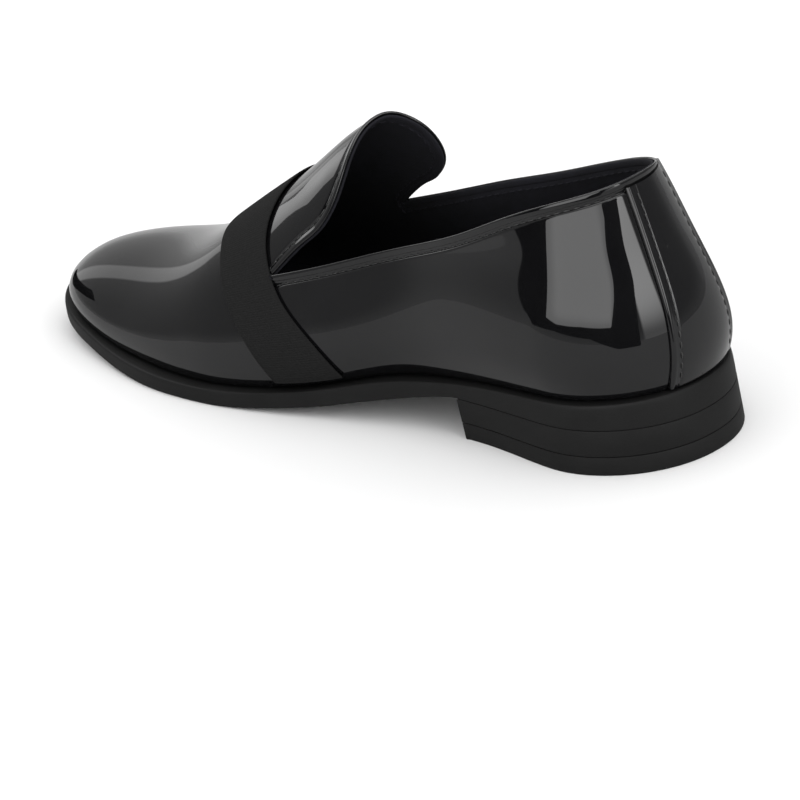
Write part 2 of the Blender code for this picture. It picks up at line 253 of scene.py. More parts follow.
STRIP_COLUMNS = ("height", "outer", "inner")
STRIP_ROWS = (
    (26.0, 13.0, 21.0),
    (38.0, 12.4, 20.6),
    (50.0, 10.7, 19.8),
    (61.0, 8.9, 19.2),
    (73.0, 7.3, 18.6),
    (92.0, 5.5, 17.6),
)

# How far the wall's foot and the sole's rim under it are pressed down when they are sewn together
SEAT_COLUMNS = ("station", "drop")
SEAT_ROWS = (
    (0, 0.9),
    (45, 1.4),
    (80, 2.0),
    (110, 0.7),
    (155, 1.3),
    (215, 1.1),
    (245, 1.5),
    (275, 1.4),
    (300, 1.2),
)
SEAT_REACH = 9.0

# Camera: where it looks, from where, how it is rolled, and where that point falls in the picture
PICTURE = 800
LOOK_AT = (140.0, 0.0, 35.0)
LOOK_AT_PIXEL = (394.57, 279.40)
CAMERA_AZIMUTH = 47.21
CAMERA_ELEVATION = 21.87
CAMERA_DISTANCE = 1603.88
CAMERA_ROLL = -9.09
FOCAL_PIXELS = 4709.6
SENSOR = 36.0
CLIP = (0.05, 100.0)

# Studio: directions in degrees, turned from the datum about Z and risen from the floor, and brightness
FLOOR_HALF = 6.0
FLOOR_COLOUR = (0.9, 0.9, 0.9)
FLOOR_REFLECTED = (0.52, 0.52, 0.52)
CARD_STEPS = 150
STUDIO_DATUM = 70.0
STUDIO_GREY = 0.30
PANEL_COLUMNS = ("turn_from", "turn_to", "turn_edge", "rise_from", "rise_to", "rise_edge", "glow")
PANEL_ROWS = (
    (-400, 400, 1.0, 36, 200, 8.0, 0.55),
    (-400, 400, 1.0, 64, 200, 5.0, 1.50),
    (-400, 400, 1.0, -90, 3, 5.0, 0.22),
    (88, 117, 1.6, -30, 45, 5.0, 0.70),
    (88, 117, 1.6, 12, 45, 10.0, 4.10),
    (-90, -82, 0.8, -30, 40, 5.0, 0.70),
    (-112, -90, 1.5, -30, 40, 5.0, 0.17),
    (120, 178, 3.0, -30, 34, 5.0, -0.08),
)

# Light from every side on what isn't a reflection
DOME_GLOW = 1.18

# Cards round the shoe: metres and degrees; heights of the lower and the upper edge at the turns
CARD_TOP = 0.2
CARD_ROWS = 24
FADE_TURN = 14.0
FADE_HEIGHT = 0.016
FADE_LEAST = 0.72
CARDS = {
    "heel_flag": {"x": -0.10, "y": 0.03, "radius": 0.165, "glow": 0.0,
                  "turns": (43, 48, 54, 60, 77, 114, 141, 163, 164, 166, 169, 174, 180, 185),
                  "feet": (0.085, 0.064, 0.0535, 0.0555, 0.060, 0.057, 0.031,
                           0.033, 0.07, 0.092, 0.108, 0.119, 0.128, 0.138),
                  "top": CARD_TOP},
    "heel_softbox": {"x": -0.10, "y": 0.03, "radius": 0.16, "glow": 3.2,
                     "turns": (68, 79, 105, 137, 139, 142, 146, 151, 157),
                     "feet": (0.073, 0.071, 0.077, 0.077, 0.088, 0.101, 0.113, 0.123, 0.135),
                     "top": CARD_TOP},
    "tongue_softbox": {"x": 0.0, "y": 0.0, "radius": 0.27, "glow": 2.6,
                       "turns": (-10, 5, 20),
                       "feet": (0.104, 0.118, 0.138),
                       "top": 0.34},
    "toe_flag": {"x": 0.13, "y": 0.0, "radius": 0.15, "glow": 0.0,
                 "turns": (-19, -13, -5, 1, 8, 14, 20),
                 "feet": (0.0, 0.002, 0.009, 0.024, 0.042, 0.058, 0.072),
                 "top": (0.012, 0.025, 0.047, 0.062, 0.084, 0.083, 0.076)},
}


def spline(knots, values):
    """Natural cubic spline through the knots, held at its end values outside them."""
    knots = np.asarray(knots, float)
    values = np.asarray(values, float)
    step = np.diff(knots)
    size = len(knots)
    matrix = np.eye(size)
    right = np.zeros(size)
    for i in range(1, size - 1):
        matrix[i, i - 1:i + 2] = step[i - 1], 2 * (step[i - 1] + step[i]), step[i]
        right[i] = 6 * ((values[i + 1] - values[i]) / step[i] - (values[i] - values[i - 1]) / step[i - 1])
    bend = np.linalg.solve(matrix, right)

    def value(at):
        at = np.clip(np.asarray(at, float), knots[0], knots[-1])
        i = np.clip(np.searchsorted(knots, at) - 1, 0, size - 2)
        a = (knots[i + 1] - at) / step[i]
        b = (at - knots[i]) / step[i]
        curve = ((a**3 - a) * bend[i] + (b**3 - b) * bend[i + 1]) * step[i]**2 / 6
        return a * values[i] + b * values[i + 1] + curve

    return value


def arrays(names, rows):
    """The columns of a table by name."""
    return dict(zip(names, np.array(rows, float).T))


def curves(names, rows):
    """A spline of each column over the table's first column, by name."""
    table = arrays(names, rows)
    return {name: spline(table[names[0]], table[name]) for name in names[1:]}


sole = curves(SOLE_COLUMNS, SOLE_ROWS)
last = curves(LAST_COLUMNS, LAST_ROWS)
topline = curves(TOPLINE_COLUMNS, TOPLINE_ROWS)
band = curves(BAND_COLUMNS, BAND_ROWS)
strip = curves(STRIP_COLUMNS, STRIP_ROWS)
seat = curves(SEAT_COLUMNS, SEAT_ROWS)
tongue = arrays(TONGUE_COLUMNS, TONGUE_ROWS)


def by_side(table, x, side):
    """The outer or inner column of a table, by the sign of side."""
    return np.where(np.asarray(side) > 0, table["outer"](x), table["inner"](x))


def round_ends(x, back, toe):
    """Share of the half width left by the round back and the round toe: a superellipse at each."""
    u = np.clip((x - TOE_ROUND_START) / (toe - TOE_ROUND_START), 0, 1)
    v = np.clip((BACK_ROUND_END - x) / (BACK_ROUND_END - back), 0, 1)
    return ((1 - u**PLAN_ROUNDNESS) * (1 - v**PLAN_ROUNDNESS))**(1 / PLAN_ROUNDNESS)


def sole_bottom(x):
    """Underside of the outsole: flat over the heel, an edge's thickness below the top, flat tread."""
    return np.clip(sole["top"](x) - SOLE_EDGE, 0, HEEL_SEAT_Z)


def feather_z(x):
    """Height of the upper's lower edge, just above the sole."""
    return sole["top"](x) + FEATHER_GAP


def breadth(x, side):
    """Half width of the last at the feather edge."""
    return by_side(last, x, side) * round_ends(x, LAST_BACK, LAST_TOE)


def rise(x):
    """Height of the ridge over the feather edge, rounded down at the toe by a superellipse."""
    u = np.clip((x - TOE_DROP_START) / (LAST_TOE - TOE_DROP_START), 0, 1)
    drop = (1 - u**TOE_DROP_ROUNDNESS)**(1 / TOE_DROP_ROUNDNESS)
    return (last["crown"](x) - feather_z(x)) * drop


def smooth(share):
    """A climb from 0 to 1 that starts and ends level."""
    share = np.clip(share, 0, 1)
    return share**2 * (3 - 2 * share)


def ramp(u):
    """Positive part of a number with its corner rounded: a hyperbola between 0 and u."""
    return (u + np.hypot(u, RAMP_ROUND)) / 2


def ramp_sum(u):
    """Integral of the rounded positive part."""
    return (u**2 + u * np.hypot(u, RAMP_ROUND) + RAMP_ROUND**2 * np.arcsinh(u / RAMP_ROUND)) / 4


def skin(x, across, side):
    """Point of the last at a station, at a share of the half width from the ridge, on a side.

    The section is across^2 + height^fullness = 1. The wall then swells out along the plan's normal by
    level * (1 - level)^2, scaled to a peak of 1 a third of the way up, and at the tip of the toe away
    from the centre of its round. The heel curve leans the back forward, with the square of the height
    and then straight on. Both end in a rounded ramp, so that reflections run on without a kink.
    """
    x, across, side = np.broadcast_arrays(*(np.asarray(v, float) for v in (x, across, side)))
    tall = rise(x)
    height = tall * np.clip(1 - across**2, 0, 1)**(1 / last["fullness"](x))
    front, back = np.minimum(x + NUDGE, LAST_TOE), np.maximum(x - NUDGE, LAST_BACK)
    slope = across * (breadth(back, side) - breadth(front, side)) / (front - back)
    length = np.hypot(slope, 1)
    tip = smooth((x - TIP_START) / (TIP_FULL - TIP_START))
    wide = breadth(x, side) * across
    from_centre = np.hypot(x - TIP_CENTRE, wide) + TINY
    ahead = slope / length * (1 - tip) + (x - TIP_CENTRE) / from_centre * tip
    aside = 1 / length * (1 - tip) + wide / from_centre * tip
    level = height / np.minimum(rise(np.minimum(x, TIP_FULL)), BACK_LEAN_HEIGHT)
    swell = SWELL_PEAK * level * ramp(1 - level)**2 * last["swell"](x)
    climb = height / BACK_LEAN_HEIGHT
    lean = BACK_LEAN * (climb**2 - 2 * ramp_sum(climb - 1) + 2 * ramp_sum(-1.0))
    lean = lean * np.clip(1 - x / BACK_LEAN_REACH, 0, 1)**2
    return np.stack([
        x + swell * ahead + lean,
        side * (wide + swell * aside),
        feather_z(x) + height,
    ], -1)


def across_at(x, z):
    """Share of the half width at which the section reaches a height."""
    share = np.clip((z - feather_z(x)) / (rise(x) + TINY), 0, 1)
    return np.sqrt(1 - share**last["fullness"](x))


def unit(vectors):
    """Vectors scaled to length one."""
    return vectors / (np.linalg.norm(vectors, axis=-1, keepdims=True) + TINY)


def runs(points):
    """Distance along each polyline of an array of polylines."""
    steps = np.linalg.norm(np.diff(points, axis=1), axis=-1)
    return np.concatenate([np.zeros((len(points), 1)), np.cumsum(steps, axis=1)], 1)


def at_distances(points, distances):
    """Points of each polyline at its own row of distances, all polylines at once.

    Each line's distances are moved clear of the next line's, so one interpolation serves them all.
    """
    run = runs(points)
    apart = (np.arange(len(points)) * (run.max() + 1.0))[:, None]
    flat_run = (run + apart).ravel()
    wanted = np.clip(distances, 0, run[:, -1:]) + apart
    axes = range(points.shape[2])
    return np.stack([np.interp(wanted, flat_run, points[..., k].ravel()) for k in axes], -1)


def even(points, count):
    """A polyline's points spaced evenly along it."""
    run = runs(points[None])
    return at_distances(points[None], np.linspace(0, 1, count)[None] * run[:, -1:])[0]


def quarter_ribs(stations, side):
    """Dense sections of a quarter at stations, from the feather edge to the topline."""
    x = np.asarray(stations)[:, None]
    height = np.linspace(0, 1, DENSE)[None, :]**2
    z = feather_z(x) + height * (by_side(topline, x, side) - feather_z(x))
    return skin(x, across_at(x, z), side)


def notch(side):
    """Plan position of the throat's corner on a side."""
    x = NOTCH_STATION[side]
    return np.array([x, float(side * breadth(x, side) * across_at(x, by_side(topline, x, side)))])


def tongue_edge(count):
    """Plan curve of the tongue's edge, from the outer notch round to the inner one."""
    between = np.column_stack([tongue["station"], tongue["offset"]])
    knots = np.array([notch(1), *between, notch(-1)])
    run = np.append(0, np.cumsum(np.linalg.norm(np.diff(knots, axis=0), axis=1)))
    at = np.linspace(0, run[-1], DENSE)
    return even(np.stack([spline(run, knots[:, k])(at) for k in range(2)], -1), count)


def vamp_feather(count):
    """Plan curve of the feather edge, from the outer notch's station round the toe to the inner's."""
    ease = np.sin(np.linspace(0, np.pi / 2, DENSE))
    halves = []
    for side in SIDES:
        x = NOTCH_STATION[side] + (LAST_TOE - NOTCH_STATION[side]) * ease
        halves.append(np.stack([x, side * breadth(x, side)], -1))
    return even(np.concatenate([halves[0], halves[1][-2::-1]]), count)


def vamp_ribs(count):
    """Dense ribs over the vamp, from the feather edge forward of the throat back to the tongue's edge.

    In plan each is a parabola. Its pull point lies between the ridge and the tongue's edge, ahead of
    the throat, and moves onto the straight line where the rib meets the throat's corner.
    """
    feet, rims = vamp_feather(count), tongue_edge(count)
    share = np.linspace(0, 1, count)
    corner = np.minimum(share, 1 - share)
    bend = (1 - np.exp(-corner / RIB_BEND_SHARE))[:, None]
    throat = np.where(share < 0.5, NOTCH_STATION[1], NOTCH_STATION[-1])
    pull = np.column_stack([
        throat + RIB_PULL_MIN + RIB_PULL * np.sin(np.pi * share),
        RIB_PULL_OFFSET * rims[:, 1],
    ])
    pull = bend * pull + (1 - bend) * (feet + rims) / 2
    t = np.linspace(0, 1, DENSE)[None, :, None]**2
    plan = feet[:, None] * (1 - t)**2 + pull[:, None] * 2 * t * (1 - t) + rims[:, None] * t**2
    x, y = plan[..., 0], plan[..., 1]
    side = np.where(y >= 0, 1, -1)
    across = np.clip(np.abs(y) / (breadth(x, side) + TINY), 0, 1)
    return skin(x, across, side)


def upper_ribs():
    """All ribs of the upper in order round it: outer quarter, vamp and tongue, inner quarter."""
    turn = np.linspace(0, 1, QUARTER_RIBS + 1)[:-1]**QUARTER_SPREAD
    outer, inner = (
        quarter_ribs(LAST_BACK + (NOTCH_STATION[side] - LAST_BACK) * turn, side) for side in SIDES
    )
    return np.concatenate([outer, vamp_ribs(VAMP_RIBS), inner[:0:-1]])


def ring_normals(grid):
    """Outward normals of a grid that closes on itself along its first axis."""
    along = np.roll(grid, -1, 0) - np.roll(grid, 1, 0)
    return unit(np.cross(np.gradient(grid, axis=1), along))


def open_normals(grid):
    """Normals of a grid that ends on all four sides."""
    return unit(np.cross(np.gradient(grid, axis=1), np.gradient(grid, axis=0)))


def superloop(count, power):
    """Points round a superellipse with half sizes of 1: cosine and sine to the power 2 / power."""
    turn = np.arange(count) * 2 * np.pi / count
    c, s = np.cos(turn), np.sin(turn)
    return np.sign(c) * np.abs(c)**(2 / power), np.sign(s) * np.abs(s)**(2 / power)


def hump(distance, centre, width):
    """A bell over a distance: 1 at its centre, falling off within a width."""
    return np.exp(-((distance - centre) / width)**2)


def sole_outline(drop, count=SOLE_POINTS):
    """Closed plan of the sole; drop is 0 at the rim and 1 where the heel stands on the floor."""
    turn = (np.arange(count) + 0.5) * 2 * np.pi / count
    back = HEEL_RIM_BACK * (1 - drop)
    x = back + (SOLE_LENGTH - back) * (1 - np.cos(turn)) / 2
    side = np.where(turn < np.pi, 1, -1)
    width = by_side(sole, x, side) + drop * sole["flare"](x)
    return np.stack([x, side * width * round_ends(x, back, SOLE_LENGTH)], -1)


def heel_outline(drop, count=HEEL_POINTS):
    """Closed plan of the heel, from the inner corner of its breast round the back to the outer."""
    turn = np.linspace(-1, 1, count)
    back = HEEL_RIM_BACK * (1 - drop)
    x = back + (HEEL_LENGTH - back) * turn**2
    side = np.sign(turn)
    width = by_side(sole, x, side) + drop * sole["flare"](x)
    return np.stack([x, side * width * round_ends(x, back, SOLE_LENGTH)], -1)


def inset(outline, distance):
    """A closed clockwise plan moved inwards along its normals by a distance."""
    along = unit(np.roll(outline, -1, 0) - np.roll(outline, 1, 0))
    inward = np.stack([along[:, 1], -along[:, 0]], -1)
    return outline + inward * np.reshape(distance, (-1, 1))


def ring(outline, z):
    """A plan outline lifted to a height, or to a height at each of its points."""
    return np.column_stack([outline, np.broadcast_to(z, len(outline))])


def plan_middle():
    """Middle of the shoe's box in plan."""
    outline = np.concatenate([sole_outline(0, BOX_SOLE_POINTS), heel_outline(1, BOX_HEEL_POINTS)])
    return (outline.min(0) + outline.max(0)) / 2


MIDDLE = np.append(plan_middle(), 0)


def to_frame(points):
    """Millimetres in the shoe's frame to metres in the part's frame."""
    return (np.asarray(points) - MIDDLE) * MM


def quads(rows, columns, close_rows=False, close_columns=False):
    """Faces of a grid of points, closed along either axis."""
    index = np.arange(rows * columns).reshape(rows, columns)
    if close_rows:
        index = np.concatenate([index, index[:1]])
    if close_columns:
        index = np.concatenate([index, index[:, :1]], 1)
    return np.stack([index[:-1, :-1], index[:-1, 1:], index[1:, 1:], index[1:, :-1]], -1).reshape(-1, 4)


def make(name, points, faces, material, stands_for=(), uv=None, sharp=50):
    """A closed piece of the shoe from points in millimetres, facing outwards, on the shoe's body."""
    mesh = bpy.data.meshes.new(name)
    mesh.from_pydata(to_frame(np.reshape(points, (-1, 3))).tolist(), [], faces)
    if uv is not None:
        corners = np.zeros(len(mesh.loops), int)
        mesh.loops.foreach_get("vertex_index", corners)
        mesh.uv_layers.new(name="UVMap").data.foreach_set("uv", np.reshape(uv, (-1, 2))[corners].ravel())
    shape = bmesh.new()
    shape.from_mesh(mesh)
    bmesh.ops.recalc_face_normals(shape, faces=shape.faces)
    shape.to_mesh(mesh)
    shape.free()
    mesh.shade_smooth()
    mesh.set_sharp_from_angle(angle=np.radians(sharp))
    mesh.materials.append(material)
    piece = bpy.data.objects.new(name, mesh)
    bpy.context.scene.collection.objects.link(piece)
    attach(piece, "root")
    if stands_for:
        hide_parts(*stands_for)
    return piece


def wall(outer, normals, thickness):
    """Closed cross sections of a wall: up its outer face, then down the inner one."""
    inner = outer - thickness * normals
    return np.concatenate([outer, inner[:, ::-1]], 1)


def strip_caps(count, rings):
    """Faces that close the first and the last ring by strips across."""
    near = np.arange(count // 2 - 1)
    far = count - 1 - near
    strips = np.column_stack([near, near + 1, far - 1, far])
    return strips.tolist() + (strips[:, ::-1] + (rings - 1) * count).tolist()


def loft(name, rings, material, stands_for):
    """A closed solid through rings from bottom to top, capped by strips across."""
    count = len(rings[0])
    faces = quads(len(rings), count, close_columns=True).tolist() + strip_caps(count, len(rings))
    return make(name, np.concatenate(rings), faces, material, stands_for, sharp=35)


def math_node(tree, operation, *inputs):
    """A Math node on numbers and sockets, and its output."""
    node = tree.nodes.new("ShaderNodeMath")
    node.operation = operation
    for socket, value in zip(node.inputs, inputs):
        if isinstance(value, bpy.types.NodeSocket):
            tree.links.new(value, socket)
        else:
            socket.default_value = value
    return node.outputs[0]


def effect_group(name, *numbers):
    """An empty group that takes a place and numbers, and gives a height and a shade between 0 and 1."""
    group = bpy.data.node_groups.new(name, "ShaderNodeTree")
    group.interface.new_socket("Place", in_out="INPUT", socket_type="NodeSocketVector")
    for number in numbers:
        group.interface.new_socket(number, in_out="INPUT", socket_type="NodeSocketFloat")
    for result in ("Height", "Shade"):
        group.interface.new_socket(result, in_out="OUTPUT", socket_type="NodeSocketFloat")
    return group, group.nodes.new("NodeGroupInput").outputs, group.nodes.new("NodeGroupOutput").inputs


def noise(tree, place, scale, detail=FINE_DETAIL):
    """Fractal noise at a place."""
    node = tree.nodes.new("ShaderNodeTexNoise")
    node.inputs["Detail"].default_value = detail
    tree.links.new(place, node.inputs["Vector"])
    tree.links.new(scale, node.inputs["Scale"])
    return node.outputs["Fac"]


def grain_effect():
    """Skin or moulded surface: cells with fine noise over them, and a slow cloudy shade."""
    group, given, results = effect_group("grain", "Cells", "Clouds")
    cells = group.nodes.new("ShaderNodeTexVoronoi")
    group.links.new(given["Place"], cells.inputs["Vector"])
    group.links.new(given["Cells"], cells.inputs["Scale"])
    fine = noise(group, given["Place"], given["Cells"])
    height = math_node(group, "MULTIPLY_ADD", cells.outputs["Distance"], CELL_HEIGHT, fine)
    group.links.new(height, results["Height"])
    group.links.new(noise(group, given["Place"], given["Clouds"], CLOUD_DETAIL), results["Shade"])
    return group


def weave_effect():
    """Woven or twisted threads: a round rib along one axis, broken by picks along the other, with slubs,
    and painted shade: the colour is darker in the hollows between threads and lighter on their raised tops.
    """
    group, given, results = effect_group("weave", "Ribs", "Picks", "Slubs")
    axes = group.nodes.new("ShaderNodeSeparateXYZ")
    group.links.new(given["Place"], axes.inputs["Vector"])
    waves = []
    for axis, count in (("X", "Ribs"), ("Y", "Picks")):
        threads = math_node(group, "MULTIPLY", axes.outputs[axis], given[count])
        turns = math_node(group, "MULTIPLY", threads, np.pi)
        waves.append(math_node(group, "ABSOLUTE", math_node(group, "SINE", turns)))
    rib = math_node(group, "POWER", waves[0], RIB_ROUND)
    pick = math_node(group, "MULTIPLY_ADD", waves[1], PICK_DEPTH, 1 - PICK_DEPTH)
    height = math_node(group, "MULTIPLY", rib, pick)
    # Painted shade: the colour follows the thread height, darker in the hollows between threads and lighter
    # on their raised tops
    painted_rib_shade = math_node(group, "MULTIPLY_ADD", height, SLUB_AND_PAINTED_HOLLOW_SHADE, SLUB_AND_PAINTED_HOLLOW_SHADE)
    slub = noise(group, given["Place"], given["Slubs"])
    group.links.new(height, results["Height"])
    group.links.new(math_node(group, "MULTIPLY", slub, painted_rib_shade), results["Shade"])
    return group


def finish_material(name, finish):
    """A material whose colour, roughness and bump follow a shared effect.

    The shade mixes two colours and runs the roughness, and the coat if there is one, between two
    values. The height is the bump.
    """
    material = bpy.data.materials.new(name)
    material.use_nodes = True
    tree = material.node_tree
    shader = tree.nodes["Principled BSDF"]
    for socket, value in finish["fixed"].items():
        shader.inputs[socket].default_value = value
    place = tree.nodes.new("ShaderNodeTexCoord")
    effect = tree.nodes.new("ShaderNodeGroup")
    effect.node_tree = EFFECTS[finish["effect"]]
    tree.links.new(place.outputs[finish["place"]], effect.inputs["Place"])
    for socket, value in finish["values"].items():
        effect.inputs[socket].default_value = value
    colour = tree.nodes.new("ShaderNodeValToRGB")
    for stop, shade in zip(colour.color_ramp.elements, finish["colours"]):
        stop.color = (*shade, 1)
    tree.links.new(effect.outputs["Shade"], colour.inputs["Fac"])
    tree.links.new(colour.outputs["Color"], shader.inputs["Base Color"])
    for socket, span in finish["spans"].items():
        level = tree.nodes.new("ShaderNodeMapRange")
        level.inputs["To Min"].default_value, level.inputs["To Max"].default_value = span
        tree.links.new(effect.outputs["Shade"], level.inputs["Value"])
        tree.links.new(level.outputs["Result"], shader.inputs[socket])
    bump = tree.nodes.new("ShaderNodeBump")
    bump.inputs["Strength"].default_value, bump.inputs["Distance"].default_value = finish["bump"]
    tree.links.new(effect.outputs["Height"], bump.inputs["Height"])
    tree.links.new(bump.outputs["Normal"], shader.inputs["Normal"])
    return material


# Finishes: the two colours of the shade, what it runs between two values, and the bump's strength and depth
FINISHES = {
    "black_patent": {
        "effect": "grain", "place": "Object", "values": {"Cells": 900.0, "Clouds": 40.0},
        "colours": ((0.003, 0.003, 0.0034), (0.0062, 0.0062, 0.0068)),
        "spans": {"Roughness": (0.26, 0.42), "Coat Weight": (0.95, 1.0)}, "bump": (0.3, 0.00008),
        "fixed": {"Specular IOR Level": 0.008, "Coat Roughness": 0.03, "Coat IOR": 1.5}},
    "black_rubber": {
        "effect": "grain", "place": "Object", "values": {"Cells": 2200.0, "Clouds": 60.0},
        "colours": ((0.0055, 0.0055, 0.0055), (0.0115, 0.0115, 0.0115)),
        "spans": {"Roughness": (0.48, 0.66)}, "bump": (0.35, 0.00012),
        "fixed": {"Specular IOR Level": 0.18}},
    "band_cloth": {
        "effect": "weave", "place": "UV", "values": {"Ribs": 1100.0, "Picks": 2400.0, "Slubs": 900.0},
        "colours": ((0.0075, 0.0075, 0.0075), (0.0165, 0.0165, 0.0165)),
        "spans": {"Roughness": (0.88, 1.0)}, "bump": (0.6, 0.0002),
        "fixed": {"Specular IOR Level": 0.1}},
    "dark_lining": {
        "effect": "weave", "place": "Object", "values": {"Ribs": 1400.0, "Picks": 1400.0, "Slubs": 200.0},
        "colours": ((0.003, 0.003, 0.0052), (0.010, 0.010, 0.0165)),
        "spans": {"Roughness": (0.84, 0.96)}, "bump": (0.4, 0.00015),
        "fixed": {"Specular IOR Level": 0.3}},
    "black_thread": {
        "effect": "weave", "place": "UV", "values": {"Ribs": 1.0, "Picks": 0.5, "Slubs": 4.0},
        "colours": ((0.006, 0.006, 0.006), (0.03, 0.03, 0.03)),
        "spans": {"Roughness": (0.2, 0.38)}, "bump": (0.5, 0.0001),
        "fixed": {"Specular IOR Level": 0.6}},
}

EFFECTS = {"grain": grain_effect(), "weave": weave_effect()}
PATENT, RUBBER, CLOTH, LINING, THREAD = (finish_material(*item) for item in FINISHES.items())

RIBS = upper_ribs()
LENGTHS = runs(RIBS)[:, -1:]


def along_ring(points):
    """Direction along a closed line of points."""
    return unit(np.roll(points, -1, 0) - np.roll(points, 1, 0))


def rib_slant():
    """How much longer a rib's way to the topline is than the square way, evened out round the shoe.

    It is one over the sine of the angle between the rib and the edge.
    """
    rib = unit(RIBS[:, -1] - RIBS[:, -SLANT_POINTS])
    sine = np.linalg.norm(np.cross(rib, along_ring(RIBS[:, -1])), axis=-1, keepdims=True)
    sine = np.mean([np.roll(sine, k, 0) for k in range(-SLANT_EVEN, SLANT_EVEN + 1)], 0)
    return 1 / np.clip(sine, SLANT_LIMIT, 1)


SLANT = rib_slant()


def upper_grid(shares_from_foot, offsets_from_edge):
    """Grid on the upper, with each point's way up its rib.

    Rows go by share of the way up to the edge band, then by square distance from the edge.
    """
    low = shares_from_foot[None, :] * (LENGTHS - EDGE_BAND * SLANT)
    high = LENGTHS - offsets_from_edge[None, :] * SLANT
    distance = np.concatenate([low, high], 1)
    return at_distances(RIBS, distance), distance


def settle(points, distance):
    """Points near the feather edge pressed down with the sole's rim, by the square of how near they are."""
    near = np.clip(1 - distance / SEAT_REACH, 0, 1)**2
    return points - np.stack([0 * near, 0 * near, near * seat["drop"](points[..., 0])], -1)


def shaped(grid, normals, distance):
    """The wall turned in at its foot, settled on the sole, and flared above its stitch row."""
    down = np.clip(1 - distance / TUCK_LENGTH, 0, 1)[..., None]
    flare = EDGE_FLARE * np.clip(1 - (LENGTHS - distance) / SLANT / TOPLINE_SEAM, 0, 1)[..., None]
    return settle(grid - TUCK * down**2 * normals * np.array([1, 1, 0]) + flare * normals, distance)


def upper_layers():
    """Patent wall and lining wall of the upper, as closed rings of sections.

    The patent has a shallow groove under its stitch row, and both walls turn in at the foot.
    """
    shares = np.linspace(0, 1, UPPER_ROWS)[:-1]**UPPER_ROW_SPREAD
    grid, distance = upper_grid(shares, np.linspace(EDGE_BAND, FOLD_COVER, EDGE_ROWS))
    normals = ring_normals(grid)
    groove = SEAM_DEPTH * hump((LENGTHS - distance) / SLANT, TOPLINE_SEAM, SEAM_WIDTH)
    face = shaped(grid, normals, distance)
    outer = face - groove[..., None] * normals
    inner = face - (PATENT_WALL + LAYER_SEAM) * normals
    return wall(outer, normals, PATENT_WALL), wall(inner, normals, LINING_WALL)


def make_upper():
    """Patent wall outside, lining inside."""
    patent, lining = upper_layers()
    faces = quads(*patent.shape[:2], close_rows=True, close_columns=True).tolist()
    make("upper", patent, faces, PATENT, ["upper"])
    make("upper_lining", lining, faces, LINING)


def edge_frames():
    """Points of the topline all round, with the directions out of the flared wall and up along it."""
    ends, _ = upper_grid(np.array([]), np.array(FRAME_OFFSETS))
    normals = ring_normals(ends)[:, 1]
    along = along_ring(ends[:, 2])
    up = ends[:, 2] - ends[:, 1]
    up = unit(up - along * np.sum(up * along, -1, keepdims=True))
    tilt = EDGE_FLARE / TOPLINE_SEAM
    return ends[:, 2] + EDGE_FLARE * normals, unit(normals - tilt * up), unit(up + tilt * normals)


def make_fold(name, fold, material, stands_for):
    """A folded edge: a superellipse profile carried round the topline."""
    points, out, up = edge_frames()
    c, s = superloop(FOLD_POINTS, FOLD_POWER)
    across = fold["out"] + fold["half_out"] * c
    along = fold["up"] + fold["half_up"] * s
    grid = points[:, None] + across[None, :, None] * out[:, None] + along[None, :, None] * up[:, None]
    faces = quads(*grid.shape[:2], close_rows=True, close_columns=True).tolist()
    make(name, grid, faces, material, stands_for)


def band_grid(around, over):
    """Grid of the band over the vamp, from feather edge to feather edge between its two edge curves."""
    angle = np.radians(np.linspace(-BAND_END_ANGLE, BAND_END_ANGLE, around))[:, None]
    height = np.cos(angle)**BAND_SECTION_POWER
    setback = BAND_INNER_SETBACK * (1 - height) * (angle > 0)
    x = band["rear"](height) * (1 - over) + band["front"](height) * over - setback
    return skin(x, np.abs(np.sin(angle)), np.where(angle > 0, -1, 1))


def trim(grid):
    """Faces of a trim whose sections close on themselves, with both ends closed."""
    rows, columns = grid.shape[:2]
    faces = quads(rows, columns, close_columns=True).tolist()
    return faces + [list(range(columns)), list(range((rows - 1) * columns, rows * columns))]


def between(columns, at):
    """Directions between evenly spaced columns of a grid, at shares of the way across it."""
    place = at * (columns.shape[1] - 1)
    low = np.minimum(place.astype(int), columns.shape[1] - 2)
    part = (place - low)[None, :, None]
    return unit(columns[:, low] * (1 - part) + columns[:, low + 1] * part)


def make_band():
    """Cloth band: a superellipse section with rounded edges, laid over the vamp from side to side.

    Its UV map is in metres, along the band and across it.
    """
    c, s = superloop(BAND_POINTS, BAND_EDGE_POWER)
    over = (c + 1) / 2
    coarse = band_grid(BAND_SECTIONS, np.linspace(0, 1, BAND_NORMALS)[None, :])
    normals = between(open_normals(coarse), over)
    lift = BAND_LIFT + BAND_THICKNESS * (s + 1) / 2
    grid = band_grid(BAND_SECTIONS, over[None, :])
    grid = settle(grid - lift[None, :, None] * normals, grid[..., 2] - feather_z(grid[..., 0]))
    middle = band_grid(BAND_SECTIONS, np.array([[0.5]]))[:, 0]
    width = np.linalg.norm(grid.max(1) - grid.min(1), axis=-1, keepdims=True)
    along = np.broadcast_to(runs(middle[None])[0][:, None], grid.shape[:2])
    uv = np.stack([along, over[None, :] * width], -1) * MM
    make("vamp_band", grid, trim(grid), CLOTH, ["vamp_band"], uv)


def heel_points(z, offset):
    """Points of the back of the last at heights and distances to the side."""
    x = (LAST_BACK + (BACK_ROUND_END - LAST_BACK) * np.linspace(0, 1, DENSE)**2)[None, :]
    side = np.where(offset >= 0, 1, -1)
    sections = skin(x, across_at(x, z[:, None]), side[:, None])
    apart = (np.arange(len(z)) * HEEL_ROW_SPACING)[:, None]
    rising = np.maximum.accumulate(np.abs(sections[..., 1]), 1)
    stations = np.broadcast_to(x, rising.shape).ravel()
    at = np.interp(np.abs(offset) + apart[:, 0], (rising + apart).ravel(), stations)
    return skin(at, across_at(at, z), side)


